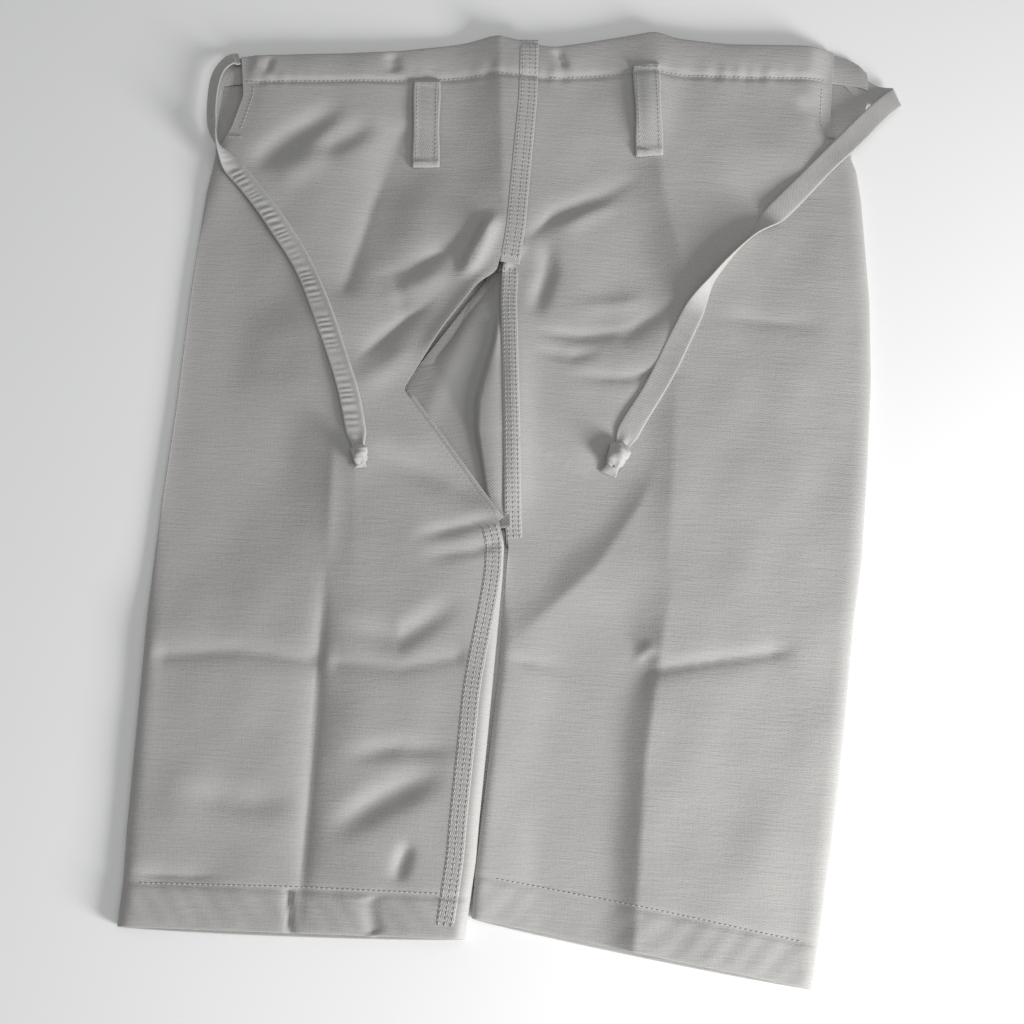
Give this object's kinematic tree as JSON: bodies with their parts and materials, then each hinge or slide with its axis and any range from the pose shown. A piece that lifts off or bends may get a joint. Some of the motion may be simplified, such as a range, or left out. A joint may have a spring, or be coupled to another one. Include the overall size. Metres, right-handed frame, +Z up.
{
  "type": "martial arts trousers",
  "caption": "Child's martial arts uniform trousers laid flat, with wide legs, a crotch gusset, belt loops, side slits and a knotted drawstring.",
  "frame": {"origin": "under the middle of the trousers' bounding box, on the surface that they lie on", "axes": "+Z up, out of the front of the garment; +Y towards the waist; +X towards the garment's right-hand side as it is seen from above"},
  "size_m": [0.5517, 0.685, 0.0233],
  "materials": {
    "cotton": "off-white cotton twill, matt",
    "seam_cotton": "the same twill in several layers, stitched and pressed",
    "tape": "flat stitched cotton tape",
    "thread": "dense white thread"
  },
  "bodies": {
    "trousers": {"back_waistband_fold": "cotton", "back_waistband_lower_layer": "cotton", "back_waistband_sewn_edge": "cotton", "back_waistband_upper_layer": "cotton", "centre_back_seam": "seam_cotton", "centre_front_seam": "seam_cotton", "crotch_gusset": "cotton", "front_waistband_fold": "cotton", "front_waistband_lower_layer": "cotton", "front_waistband_sewn_edge": "cotton", "front_waistband_upper_layer": "cotton", "left_belt_loop": "seam_cotton", "left_loop_lower_tack": "thread", "left_loop_upper_tack": "thread", "left_slit_back_hem": "seam_cotton", "left_slit_front_hem": "seam_cotton", "left_slit_tack": "thread", "left_thigh_back": "cotton", "left_thigh_front": "cotton", "left_thigh_inner_fold": "cotton", "left_thigh_inseam": "seam_cotton", "left_thigh_outer_fold": "cotton", "right_belt_loop": "seam_cotton", "right_loop_lower_tack": "thread", "right_loop_upper_tack": "thread", "right_slit_back_hem": "seam_cotton", "right_slit_front_hem": "seam_cotton", "right_slit_tack": "thread", "right_thigh_back": "cotton", "right_thigh_front": "cotton", "right_thigh_inner_fold": "cotton", "right_thigh_inseam": "seam_cotton", "right_thigh_outer_fold": "cotton"},
    "left_lower_leg": {"left_shin_back": "cotton", "left_shin_front": "cotton", "left_shin_inner_fold": "cotton", "left_shin_inseam": "seam_cotton", "left_shin_outer_fold": "cotton", "left_hem": "seam_cotton"},
    "right_lower_leg": {"right_shin_back": "cotton", "right_shin_front": "cotton", "right_shin_inner_fold": "cotton", "right_shin_inseam": "seam_cotton", "right_shin_outer_fold": "cotton", "right_hem": "seam_cotton"},
    "drawstring": {"drawstring_in_waist": "tape", "drawstring_left_end": "tape", "drawstring_right_end": "tape", "left_knot": "tape", "right_knot": "tape"}
  },
  "joints": [
    {"name": "left_leg_fold", "type": "hinge", "parent": "trousers", "child": "left_lower_leg", "pos_m": [-0.1345, -0.12954, 0.0127], "axis": [-1, 0, 0], "range_deg": [0, 165]},
    {"name": "right_leg_fold", "type": "hinge", "parent": "trousers", "child": "right_lower_leg", "pos_m": [0.0955, -0.12954, 0.0127], "axis": [-1, 0, 0], "range_deg": [0, 165]},
    {"name": "drawstring_slide", "type": "slide", "parent": "trousers", "child": "drawstring", "axis": [1, 0, 0], "range_m": [-0.01, 0.004]}
  ]
}
